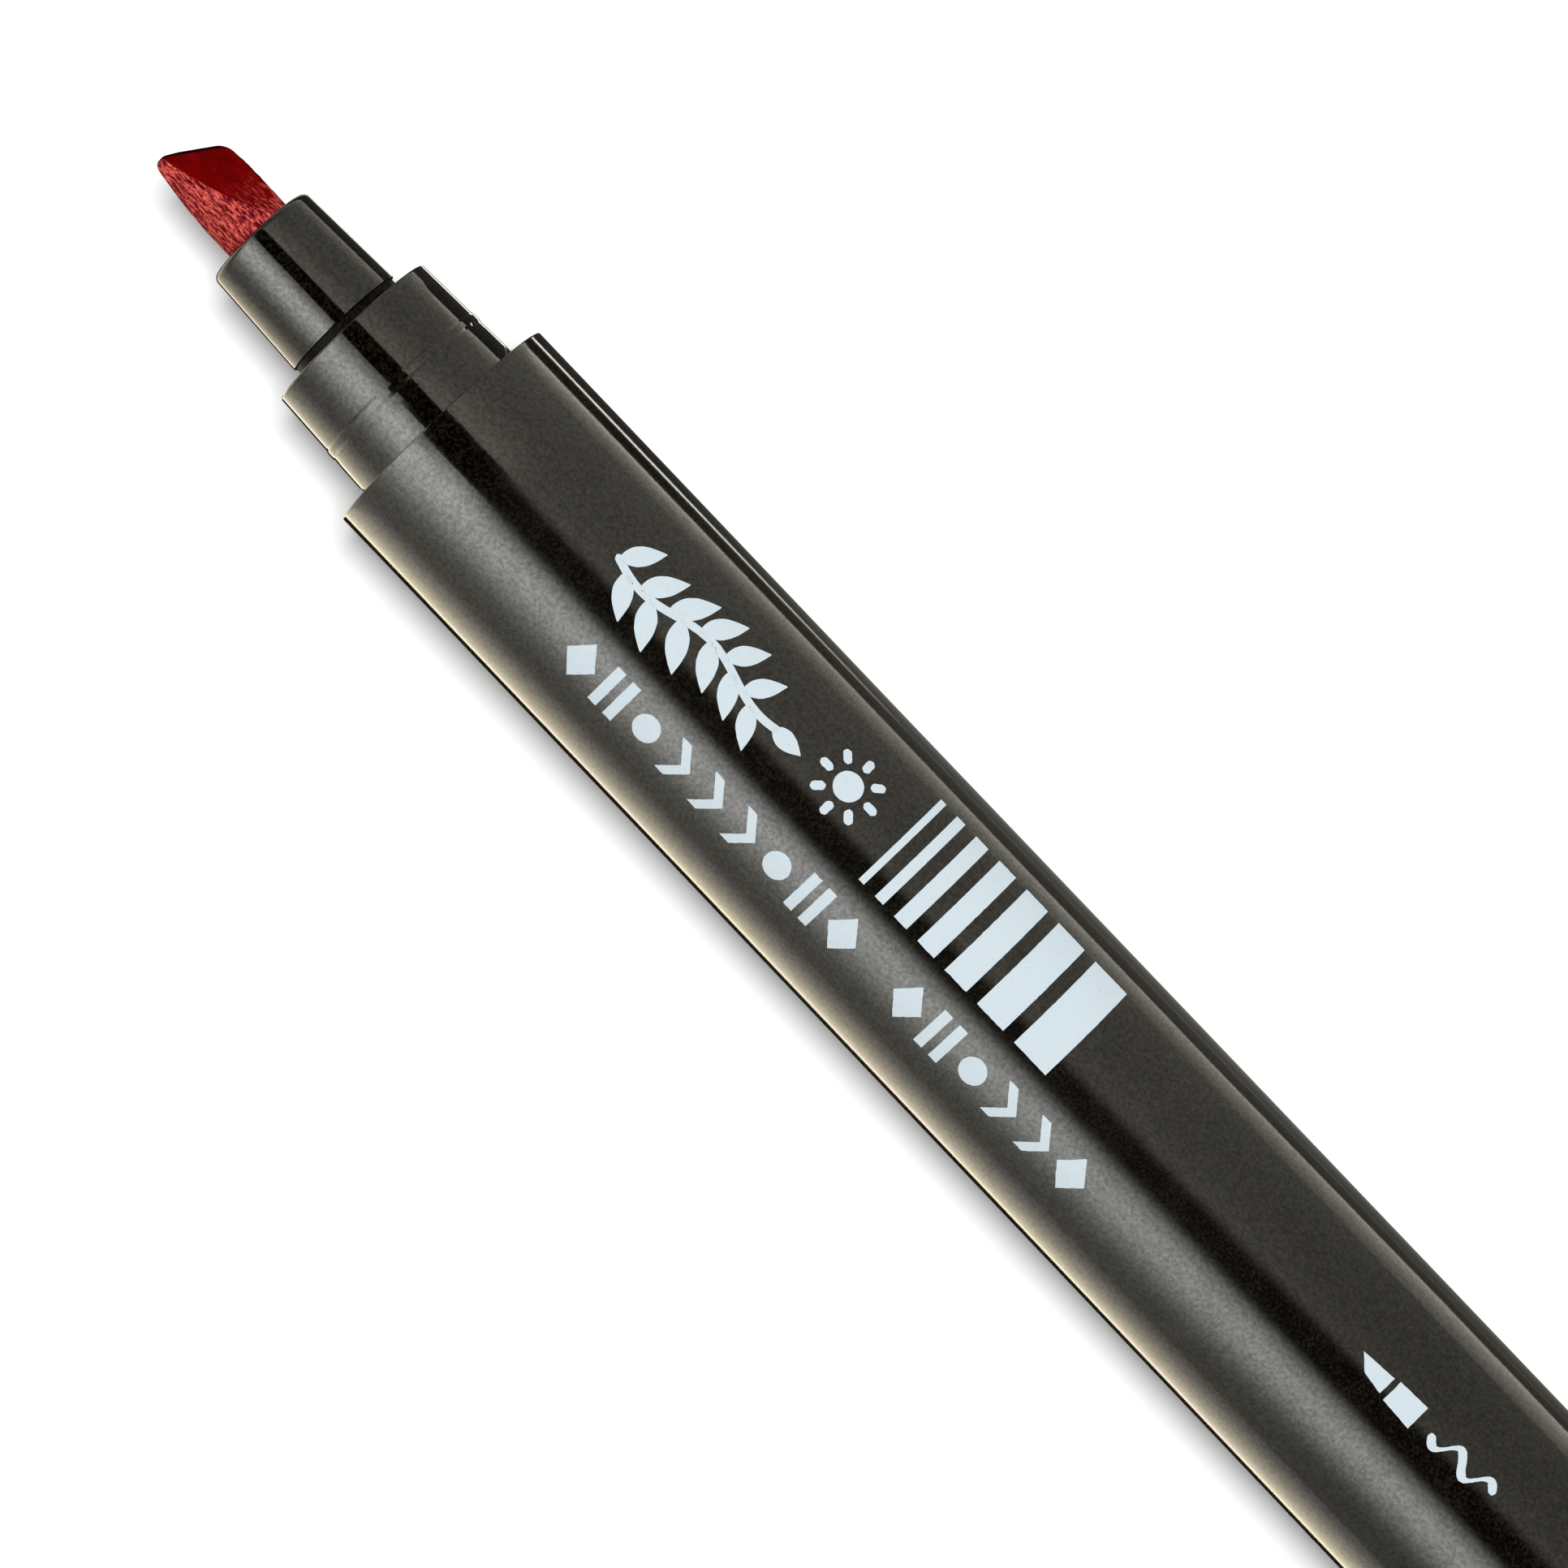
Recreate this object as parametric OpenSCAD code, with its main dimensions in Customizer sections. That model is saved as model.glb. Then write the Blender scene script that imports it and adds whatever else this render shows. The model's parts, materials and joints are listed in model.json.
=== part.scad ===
// Chisel-nib felt tip marker, lying on its side with its cap posted on the tail.
// X runs along the axis towards the nib, Z is up, and the origin is on the axis
// at the barrel's front shoulder. All sizes are in millimetres.

/* [Barrel] */
// Diameter of the parallel band behind the front shoulder
band_d = 16.06; // [15.6:0.02:16.28]
// Length of the parallel band
band_l = 30; // [10:1:60]
// Diameter of the barrel at its tail, the widest place
tail_d = 16.3; // [16.1:0.05:16.6]
// Length of the barrel tube
barrel_l = 98; // [90:1:130]
// Bore of the barrel tube
barrel_bore_d = 13.6; // [13.4:0.05:13.9]

/* [Nose] */
// Diameter of the collar's parallel land, next to the shoulder
land_d = 12.14; // [12.1:0.02:12.3]
// Length of the collar's parallel land
land_l = 2; // [1.5:0.1:2.6]
// Diameter over the collar's snap bead
bead_d = 12.1; // [12:0.02:12.2]
// Distance from the shoulder to the middle of the snap bead
bead_x = 3.37; // [3.1:0.05:5]
// Diameter of the collar at its front rim
collar_rim_d = 11.6; // [11.4:0.02:11.9]
// Distance from the shoulder to the collar's front face
collar_l = 7.67; // [6.5:0.05:8]
// Width of the groove between the collar and the nib holder
groove_w = 0.67; // [0.3:0.05:1]
// Diameter of the nib holder at its back edge
holder_back_d = 8.06; // [7.9:0.02:8.6]
// Diameter of the nib holder at its front rim
holder_rim_d = 7.46; // [7:0.02:7.9]
// Distance from the shoulder to the nib holder's front face
holder_x = 15.65; // [13:0.05:16.5]

/* [Nib] */
// Diameter of the felt rod
nib_d = 4.56; // [4.2:0.02:4.6]
// Distance from the shoulder to the nib's long point
nib_x = 23; // [21:0.1:23.5]
// Length of the nib from its long point to its back end
nib_l = 42; // [38:0.5:44]
// Slant of the writing edge, from square across the rod
nib_slant = 24.3; // [0:0.1:35]
// Angle between each ground facet and the rod's axis
facet_angle = 14.9; // [10:0.1:20]
// Thickness of the chisel at its edge
edge_t = 0.88; // [0.5:0.02:1.4]
// Roll of the chisel about its axis, from facets up and down
nib_roll = 45; // [0:1:90]
// Lean of the nib in its loose bore
nib_lean = 0.5; // [0:0.1:0.6]

/* [Reservoir] */
// Diameter of the fibre core
core_d = 12.4; // [11:0.1:12.4]
// Length of the fibre core
core_l = 78; // [60:1:78]
// Thickness of the film wrapped around the core
film_t = 0.25; // [0.1:0.05:0.3]

/* [Tail plug] */
// Thickness of the plug's flange
flange_t = 1.2; // [0.8:0.1:2]
// Length of the plug's skirt inside the barrel
skirt_l = 6.6; // [4:0.1:6.8]

/* [Cap] */
// Length of the cap
cap_l = 36; // [34:0.5:42]
// Diameter of the cap at its mouth
cap_mouth_d = 16; // [15.6:0.05:16.2]
// Diameter of the cap at its closed end
cap_end_d = 15.5; // [15.2:0.05:15.8]
// Bore of the cap's mouth, which slides over the collar and over the tail stub
mouth_bore_d = 12.42; // [12.36:0.02:12.6]
// Gap between the posted cap and the tail plug's flange
post_gap = 0.25; // [0.2:0.05:1]

/* [Clip] */
// Width of the clip's bar
clip_w = 4.4; // [3:0.1:5]
// Thickness of the clip's bar
clip_t = 1.4; // [1.2:0.05:1.6]
// Height of the bar's underside above the cap's axis
clip_h = 9.2; // [9:0.05:9.6]
// Distance from the cap's mouth to the clip's free end
clip_free_u = 4.5; // [2:0.5:12]
// Distance from the cap's mouth to the clip's hinge line
clip_hinge_u = 32.2; // [30:0.1:32.2]

/* [Hidden] */

turn_fn = 96;            // facets that stand for a full circle of a turned part
small_fn = 48;           // the same for the clip's small rounds
round_steps = 8;         // straight steps in a rounded corner
over = 1;                // how far a cutting solid runs past the face it cuts
press_gap = 0.02;        // radial gap left in each push fit inside the marker
barrel_r = band_d / 2;
floor_z = -tail_d / 2;   // the surface that the marker lies on
bore_r = barrel_bore_d / 2;
shoulder_edge = 0.08;    // broken edge of the barrel's front shoulder
tail_edge = 0.12;        // broken edges of the tail flange and of the cap's mouth

// Colours of the mouldings
barrel_black = [0.13, 0.13, 0.12];
nose_black = [0.16, 0.16, 0.15];
cap_red = [0.6, 0.08, 0.09];

// Cap seat, the same on the collar and on the tail stub: [radius, distance from the seat's root]
bead_half = 0.24;        // half the length of the snap bead
bead_ramp = 0.1;         // run-out of the bead at each end
bead_drop = 0.07;        // fall from the bead to the surface behind it
front_drop = 0.09;       // fall from the bead to the surface in front of it
land_ramp = 0.35;        // length of the step down from the land
rim_edge = 0.25;         // broken edge of the seat's outer rim
bead_r = bead_d / 2;
seat_outline = [
    [land_d / 2, 0], [land_d / 2, land_l], [bead_r - bead_drop, land_l + land_ramp],
    [bead_r - bead_drop, bead_x - bead_half - bead_ramp], [bead_r, bead_x - bead_half / 2],
    [bead_r, bead_x + bead_half / 2], [bead_r - front_drop, bead_x + bead_half + bead_ramp],
    [collar_rim_d / 2, collar_l - rim_edge], [collar_rim_d / 2 - rim_edge, collar_l]];

// Collar and nib holder
collar_skirt_l = 12;
collar_bore_r = 4.8;
holder_body_r = collar_bore_r - press_gap;
holder_neck_r = 3.88;
holder_back_x = collar_l + groove_w;
holder_edge = 0.4;       // round of the nib holder's front rim
holder_back_edge = 0.12; // broken back edge of the nib holder
body_step = 0.07;        // how far the holder's body stops short of the collar's front face
holder_body_x = collar_l - body_step;
holder_end_x = -12.8;
mouth_gap = 0.22;        // radial gap round the nib at the front of its bore
grip_gap = 0.07;         // radial gap where the bore grips the nib
mouth_r = nib_d / 2 + mouth_gap;
grip_r = nib_d / 2 + grip_gap;
grip_front_x = 6;
grip_back_x = -2;
cup_r = 3.9;             // cavity of the nib holder behind the grip
vent_count = 3;
vent_w = 0.8;
vent_depth = 0.55;

// Nib
nib_r = nib_d / 2;
lean_x = (grip_front_x + grip_back_x) / 2;   // the point that the nib leans about
point_round = 0.4;       // round of the long point
heel_round = 0.5;        // round of the short corner
nib_back_cone = 2;
cutter_w = 4 * nib_r;    // width of the shapes that trim the rod

// Reservoir
core_gap = 0.2;          // gap between the nib holder and the core
socket_gap = 0.3;        // radial gap between the nib and its socket in the core
socket_room = 0.5;       // room behind the nib's back end
film_gap = 0.05;
core_x = holder_end_x - core_gap;
core_r = core_d / 2;
socket_r = nib_r + socket_gap;
socket_l = nib_l - nib_x + core_x + socket_room;

// Tail plug
skirt_wall = 1.2;
stub_bore_r = 4.6;
stub_x = -barrel_l - flange_t;
stub_floor = 1.4;

// Cap, in a frame with its mouth at 0 and its closed end at cap_l
cap_mouth_x = stub_x - post_gap;
mouth_bore_l = 8.6;
cap_cavity_r = 6.1;
cap_crown = 2;           // thickness of the cap's closed end
crown_round = 1.3;       // round of the cap's closed end
lead_in = 0.3;
liner_r = cap_cavity_r - press_gap;
liner_bore_r = 4.9;
liner_u = 9;
liner_l = 21;
liner_floor = 1.2;

// Clip and its snap hinge
knuckle_r = 0.9;
knuckle_gap = 0.1;
hinge_h = 8.45;          // height of the hinge line above the cap's axis
slot_gap = 0.2;          // room on each side of the clip's root
cheek_t = 0.9;           // wall on each side of the socket
slot_w = clip_w + 2 * slot_gap;
boss_w = slot_w + 2 * cheek_t;
boss_half = 1.9;         // half the boss's length along the cap
boss_front_u = clip_hinge_u - boss_half;
boss_back_u = clip_hinge_u + boss_half;
boss_h = 9;
root_t = 2.4;            // thickness of the clip's root, along the cap
heel_room = 0.3;         // room under the root's heel, which sinks when the clip opens
pad_h = 8.3;             // height of the gripping pad's crest
pad_inset = 2.2;         // distance from the clip's free end to the pad's crest
pad_u = clip_free_u + pad_inset;
pad_r = 1.6;
clip_top = clip_h + clip_t;
// The marker rolls until one edge of the clip touches the surface that it lies on
clip_turn = 180 - acos(-floor_z / norm([clip_top, clip_w / 2])) - atan(clip_w / 2 / clip_top);

// A turned outline given as [radius, x] points
module turned_shape(points) {
    rotate([0, 90, 0]) rotate_extrude($fn = turn_fn) polygon(points);
}

// A round hole or rod of radius r, from x0 to x1
module bore(r, x0, x1) {
    translate([x0, 0, 0]) rotate([0, 90, 0]) cylinder(r = r, h = x1 - x0, $fn = turn_fn);
}

// Places children drawn with the cap's mouth at x = 0 and its closed end towards +X
module on_cap() {
    translate([cap_mouth_x, 0, 0]) mirror([1, 0, 0]) children();
}

// Turns children drawn with the clip straight up to where the clip lies
module at_clip() {
    on_cap() rotate([clip_turn, 0, 0]) children();
}

// A [radius, x] outline moved to x, and turned back to front where sign is -1
function shifted(points, sign, x) = [for (p = points) [p[0], x + sign * p[1]]];

// Points of an arc in a plane, from angle a0 to angle a1
function arc(c, r, a0, a1) =
    [for (i = [0:round_steps]) let (a = a0 + (a1 - a0) * i / round_steps) c + r * [cos(a), sin(a)]];

module barrel() {
    color(barrel_black)
    turned_shape([
        [bore_r, 0], [barrel_r - shoulder_edge, 0], [barrel_r, -shoulder_edge], [barrel_r, -band_l],
        [tail_d / 2, -barrel_l], [bore_r, -barrel_l]]);
}

module collar() {
    color(nose_black)
    turned_shape(concat(
        [[collar_bore_r, -collar_skirt_l], [bore_r - press_gap, -collar_skirt_l],
            [bore_r - press_gap, 0]],
        shifted(seat_outline, 1, 0),
        [[collar_bore_r, collar_l]]));
}

module nib_holder() {
    color(nose_black)
    difference() {
        turned_shape(concat(
            [[0, holder_end_x], [holder_body_r, holder_end_x], [holder_body_r, holder_body_x],
                [holder_neck_r, holder_body_x], [holder_neck_r, holder_back_x],
                [holder_back_d / 2 - holder_back_edge, holder_back_x],
                [holder_back_d / 2, holder_back_x + holder_back_edge]],
            arc([holder_rim_d / 2 - holder_edge, holder_x - holder_edge], holder_edge, 0, 90),
            [[0, holder_x]]));
        bore(mouth_r, grip_front_x, holder_x + over);
        bore(grip_r, grip_back_x - over, grip_front_x + over);
        bore(cup_r, holder_end_x - over, grip_back_x);
        for (i = [0:vent_count - 1]) {
            rotate([i * 360 / vent_count, 0, 0])
            translate([grip_back_x - over, -vent_w / 2, 0])
            cube([holder_x - grip_back_x + 2 * over, vent_w, grip_r + vent_depth]);
        }
    }
}

// Side outline of the chisel: the long point is at +y, the short corner at -y
module chisel_outline() {
    back = nib_x - nib_l;
    drop = 2 * nib_r * tan(nib_slant);
    point = [nib_x - point_round, nib_r - point_round];
    heel = [nib_x - drop - heel_round, -nib_r + heel_round];
    polygon(concat(
        [[back, -nib_r - over]],
        [[heel[0], -nib_r - over], [heel[0], -nib_r]],
        arc(heel, heel_round, -90, -nib_slant),
        arc(point, point_round, -nib_slant, 90),
        [[point[0], nib_r + over], [back, nib_r + over]]));
}

// Front outline of the chisel: two ground facets that meet the edge
module wedge_outline() {
    reach = (nib_r + over - edge_t / 2) / tan(facet_angle);
    polygon([
        [nib_x - nib_l, -nib_r - over], [nib_x - reach, -nib_r - over], [nib_x, -edge_t / 2],
        [nib_x, edge_t / 2], [nib_x - reach, nib_r + over], [nib_x - nib_l, nib_r + over]]);
}

module nib() {
    back = nib_x - nib_l;
    color([0.62, 0.1, 0.1])
    translate([lean_x, 0, 0]) rotate([0, 0, -nib_lean]) translate([-lean_x, 0, 0])
    rotate([nib_roll, 0, 0])
    intersection() {
        turned_shape([
            [0, back], [nib_r / 2, back], [nib_r, back + nib_back_cone], [nib_r, nib_x], [0, nib_x]]);
        linear_extrude(height = cutter_w, center = true) chisel_outline();
        rotate([90, 0, 0]) linear_extrude(height = cutter_w, center = true) wedge_outline();
    }
}

module reservoir_core() {
    color([0.72, 0.2, 0.18])
    difference() {
        bore(core_r, core_x - core_l, core_x);
        bore(socket_r, core_x - socket_l, core_x + over);
    }
}

module reservoir_film() {
    color([0.85, 0.85, 0.85])
    difference() {
        bore(core_r + film_gap + film_t, core_x - core_l, core_x);
        bore(core_r + film_gap, core_x - core_l - over, core_x + over);
    }
}

module tail_plug() {
    skirt_r = bore_r - press_gap;
    inner_r = skirt_r - skirt_wall;
    color(cap_red)
    turned_shape(concat(
        [[0, stub_x - collar_l + stub_floor], [stub_bore_r, stub_x - collar_l + stub_floor],
            [stub_bore_r, -barrel_l - flange_t / 2], [inner_r, -barrel_l + skirt_wall],
            [inner_r, -barrel_l + skirt_l], [skirt_r, -barrel_l + skirt_l], [skirt_r, -barrel_l],
            [tail_d / 2 - tail_edge, -barrel_l], [tail_d / 2, -barrel_l - tail_edge],
            [tail_d / 2, stub_x + tail_edge], [tail_d / 2 - tail_edge, stub_x]],
        shifted(seat_outline, -1, stub_x),
        [[0, stub_x - collar_l]]));
}

// The socket block of the clip's hinge, on the cap's crown
module clip_boss() {
    rotate([clip_turn, 0, 0])
    translate([boss_front_u, -boss_w / 2, 0])
    cube([boss_back_u - boss_front_u, boss_w, boss_h]);
}

module clip_socket() {
    rotate([clip_turn, 0, 0]) {
        translate([clip_hinge_u, 0, hinge_h]) rotate([90, 0, 0])
        cylinder(r = knuckle_r + knuckle_gap, h = slot_w, center = true, $fn = small_fn);
        translate([clip_hinge_u - knuckle_r - knuckle_gap, -slot_w / 2, hinge_h - heel_room])
        cube([boss_back_u - clip_hinge_u + knuckle_r + knuckle_gap + over, slot_w, boss_h]);
    }
}

module cap_shell() {
    color(cap_red)
    on_cap()
    difference() {
        union() {
            turned_shape(concat(
                [[0, 0], [cap_mouth_d / 2 - tail_edge, 0], [cap_mouth_d / 2, tail_edge]],
                arc([cap_end_d / 2 - crown_round, cap_l - crown_round], crown_round, 0, 90),
                [[0, cap_l]]));
            clip_boss();
        }
        bore(mouth_bore_d / 2, -over, mouth_bore_l);
        turned_shape([
            [0, -over], [mouth_bore_d / 2 + lead_in, -over], [mouth_bore_d / 2 + lead_in, 0],
            [mouth_bore_d / 2, lead_in], [0, lead_in]]);
        bore(cap_cavity_r, mouth_bore_l - over, cap_l - cap_crown);
        clip_socket();
    }
}

module cap_liner() {
    color([0.93, 0.93, 0.9])
    on_cap()
    turned_shape([
        [liner_bore_r, liner_u], [liner_r - lead_in, liner_u], [liner_r, liner_u + lead_in],
        [liner_r, liner_u + liner_l], [0, liner_u + liner_l],
        [0, liner_u + liner_l - liner_floor], [liner_bore_r, liner_u + liner_l - liner_floor]]);
}

// Side outline of the clip: along the cap, and height above its axis
module clip_outline() {
    difference() {
        union() {
            translate([clip_free_u, clip_h]) square([clip_hinge_u + root_t / 2 - clip_free_u, clip_t]);
            translate([pad_u, pad_h + pad_r]) circle(r = pad_r, $fn = small_fn);
            translate([clip_hinge_u - knuckle_r, hinge_h])
            square([knuckle_r + root_t / 2, clip_top - hinge_h]);
            translate([clip_hinge_u, hinge_h]) circle(r = knuckle_r, $fn = small_fn);
        }
        translate([0, clip_top]) square([cap_l + over, pad_r]);
    }
}

module cap_clip() {
    color(cap_red)
    at_clip()
    rotate([90, 0, 0]) linear_extrude(height = clip_w, center = true) clip_outline();
}

barrel();
collar();
nib_holder();
nib();
reservoir_core();
reservoir_film();
tail_plug();
cap_shell();
cap_liner();
cap_clip();
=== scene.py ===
"""Chisel-nib felt tip marker on a plain pale floor. Lengths inside the builders are in millimetres."""
import json
import math

import bmesh
import bpy
import numpy as np
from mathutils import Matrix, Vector, noise


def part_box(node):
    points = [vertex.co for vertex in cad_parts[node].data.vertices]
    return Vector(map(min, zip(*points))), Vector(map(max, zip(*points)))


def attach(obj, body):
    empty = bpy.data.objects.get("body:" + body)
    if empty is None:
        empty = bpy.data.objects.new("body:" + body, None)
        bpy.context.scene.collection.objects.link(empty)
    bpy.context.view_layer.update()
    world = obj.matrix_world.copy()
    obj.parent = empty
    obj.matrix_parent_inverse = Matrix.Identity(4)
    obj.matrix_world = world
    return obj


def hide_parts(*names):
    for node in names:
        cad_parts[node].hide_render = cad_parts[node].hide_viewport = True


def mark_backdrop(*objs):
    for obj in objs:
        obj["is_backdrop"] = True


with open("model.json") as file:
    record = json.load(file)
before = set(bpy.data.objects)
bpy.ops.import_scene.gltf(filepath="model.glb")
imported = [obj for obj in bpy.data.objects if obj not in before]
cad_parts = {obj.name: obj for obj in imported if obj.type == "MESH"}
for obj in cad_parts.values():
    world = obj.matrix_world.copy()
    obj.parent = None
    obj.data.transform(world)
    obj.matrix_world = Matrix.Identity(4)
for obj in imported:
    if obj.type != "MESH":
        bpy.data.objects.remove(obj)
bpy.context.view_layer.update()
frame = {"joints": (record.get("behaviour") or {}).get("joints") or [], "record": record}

MM = 0.001


def box_mm(node):
    """Lowest and highest corner of a CAD node, in millimetres."""
    return [np.array(corner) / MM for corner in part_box(node)]


# ---------------------------------------------------------------- places, from the frame
BARREL_LO, BARREL_HI = box_mm("barrel")
COLLAR_LO, COLLAR_HI = box_mm("collar")
HOLDER_LO, HOLDER_HI = box_mm("nib_holder")
CORE_LO, CORE_HI = box_mm("reservoir_core")
FILM_LO, FILM_HI = box_mm("reservoir_film")
PLUG_LO, PLUG_HI = box_mm("tail_plug")
SHELL_LO, SHELL_HI = box_mm("cap_shell")
LINER_LO, LINER_HI = box_mm("cap_liner")
MOUNTS = {m["name"]: m for m in frame["record"]["mounts"]}
HINGE = next(j for j in frame["joints"] if j["name"] == "clip_flex")

BARREL_R = MOUNTS["barrel_grip"]["dims"]["r_mm"]    # front band of the barrel
TAIL_R = BARREL_HI[2]    # widest place, at the tail
BARREL_BACK = BARREL_LO[0]
BAND_L = 30.0
BORE_R = 6.8
FLOOR_Z = BARREL_LO[2]


def barrel_radius(x):
    """Outer radius of the barrel at x."""
    along = np.clip((-BAND_L - x) / (-BAND_L - BARREL_BACK), 0, 1)
    return BARREL_R + (TAIL_R - BARREL_R) * along


# ---------------------------------------------------------------- mesh builders
SHARP = 32.0    # degrees: a steeper edge is shaded sharp
SAME_MM = 1e-4    # outline points closer than this are one point
HOLD = 0.04    # mm from the end of an arc to the point that keeps the flat beside it flat


def fillet(points, steps=5, closed=True):
    """An outline of (x, r) or (x, r, round) corners, with arcs in place of the rounded ones."""
    out, count = [], len(points)
    for i, point in enumerate(points):
        p = np.array(point[:2], float)
        radius = point[2] if len(point) > 2 else 0
        if radius <= 0 or (not closed and i in (0, count - 1)):
            out.append(p)
            continue
        a = np.array(points[i - 1][:2], float) - p
        b = np.array(points[(i + 1) % count][:2], float) - p
        la, lb = np.linalg.norm(a), np.linalg.norm(b)
        a, b = a / la, b / lb
        half = math.acos(np.clip(a @ b, -1, 1)) / 2
        if half > math.radians(89.5):
            out.append(p)
            continue
        d = min(radius / math.tan(half), 0.49 * la, 0.49 * lb)
        radius = d * math.tan(half)
        c = p + (a + b) / np.linalg.norm(a + b) * radius / math.sin(half)
        v0, v1 = p + a * d - c, p + b * d - c
        turn = math.atan2(v0[0] * v1[1] - v0[1] * v1[0], v0 @ v1)
        if la > 2.2 * (d + HOLD):
            out.append(p + a * (d + HOLD))
        for k in range(steps + 1):
            t = turn * k / steps
            out.append(c + np.array([v0[0] * math.cos(t) - v0[1] * math.sin(t),
                                     v0[0] * math.sin(t) + v0[1] * math.cos(t)]))
        if lb > 2.2 * (d + HOLD):
            out.append(p + b * (d + HOLD))
    return out


def make_object(name, verts, faces, sharp=SHARP, colours=None, recalc=True):
    """A smooth-shaded mesh object from points in millimetres."""
    mesh = bpy.data.meshes.new(name)
    mesh.from_pydata([tuple(float(c) * MM for c in v) for v in verts], [], faces)
    for key, values in (colours or {}).items():
        values = np.asarray(values, np.float32)
        if values.ndim == 1:
            mesh.attributes.new(key, "FLOAT", "POINT").data.foreach_set("value", values)
        else:
            mesh.attributes.new(key, "FLOAT_COLOR", "POINT").data.foreach_set("color", values.ravel())
    if recalc:
        bm = bmesh.new()
        bm.from_mesh(mesh)
        bmesh.ops.recalc_face_normals(bm, faces=bm.faces)
        bm.to_mesh(mesh)
        bm.free()
    mesh.polygons.foreach_set("use_smooth", [True] * len(mesh.polygons))
    mesh.set_sharp_from_angle(angle=math.radians(sharp))
    obj = bpy.data.objects.new(name, mesh)
    bpy.context.scene.collection.objects.link(obj)
    return obj


def lathe(name, outline, turn=192, warp=None, **kw):
    """Turns an outline of (x, r) points about the X axis. Points on the axis close the ends."""
    angles = np.arange(turn) * 2 * math.pi / turn
    verts, faces, rings = [], [], []
    for x, r in outline:
        if r < 1e-6:
            rings.append([len(verts)])
            verts.append((x, 0, 0))
            continue
        rings.append(list(range(len(verts), len(verts) + turn)))
        for a in angles:
            wx, wr = warp(x, r, a) if warp else (x, r)
            verts.append((wx, wr * math.cos(a), wr * math.sin(a)))
    for i, a in enumerate(rings):
        b = rings[(i + 1) % len(rings)]
        for k in range(turn):
            m = (k + 1) % turn
            if len(a) == 1 and len(b) == 1:
                break
            if len(a) == 1:
                faces.append((a[0], b[m], b[k]))
            elif len(b) == 1:
                faces.append((a[k], a[m], b[0]))
            else:
                faces.append((a[k], a[m], b[m], b[k]))
    return make_object(name, verts, faces, **kw)


def slab(name, outline, width, edge, place, steps=4, **kw):
    """An outline of (u, h) points, width thick, with rounded long edges, put in place by place(u, w, h)."""
    before = outline[-1:] + outline[:-1]
    pts = np.array([p for p, q in zip(outline, before) if math.dist(p, q) > SAME_MM], float)
    ahead, behind = np.roll(pts, -1, 0) - pts, pts - np.roll(pts, 1, 0)
    normal = []
    for e0, e1 in zip(behind, ahead):
        n0 = np.array([e0[1], -e0[0]]) / np.linalg.norm(e0)
        n1 = np.array([e1[1], -e1[0]]) / np.linalg.norm(e1)
        n = n0 + n1
        normal.append(n / max(n @ n0, 0.5))
    area = 0.5 * np.sum(pts[:, 0] * np.roll(pts[:, 1], -1) - np.roll(pts[:, 0], -1) * pts[:, 1])
    normal = np.array(normal) * (1 if area > 0 else -1)
    rows = []
    for k in range(steps + 1):
        t = math.pi / 2 * k / steps
        rows.append((-width / 2 + edge * (1 - math.sin(t)), edge * (1 - math.cos(t))))
    rows = rows[::-1] if rows[0][0] > rows[-1][0] else rows
    rows = rows + [(-w, inset) for w, inset in reversed(rows)]
    verts, faces, n = [], [], len(pts)
    for w, inset in rows:
        for p, q in zip(pts, normal):
            u, h = p - q * inset
            verts.append(place(u, w, h))
    for i in range(len(rows) - 1):
        for k in range(n):
            m = (k + 1) % n
            faces.append((i * n + k, i * n + m, (i + 1) * n + m, (i + 1) * n + k))
    faces.append(tuple(range(n)))
    faces.append(tuple(range((len(rows) - 1) * n, len(rows) * n)))
    return make_object(name, verts, faces, **kw)


def cut(obj, other, how):
    """Boolean of obj with other, applied, and other removed."""
    mod = obj.modifiers.new("cut", "BOOLEAN")
    mod.operation, mod.solver, mod.object = how, "EXACT", other
    bpy.context.view_layer.update()
    made = bpy.data.meshes.new_from_object(obj.evaluated_get(bpy.context.evaluated_depsgraph_get()))
    obj.modifiers.remove(mod)
    obj.data = made
    bpy.data.objects.remove(other)
    made.polygons.foreach_set("use_smooth", [True] * len(made.polygons))
    made.set_sharp_from_angle(angle=math.radians(SHARP))
    return obj


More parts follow.
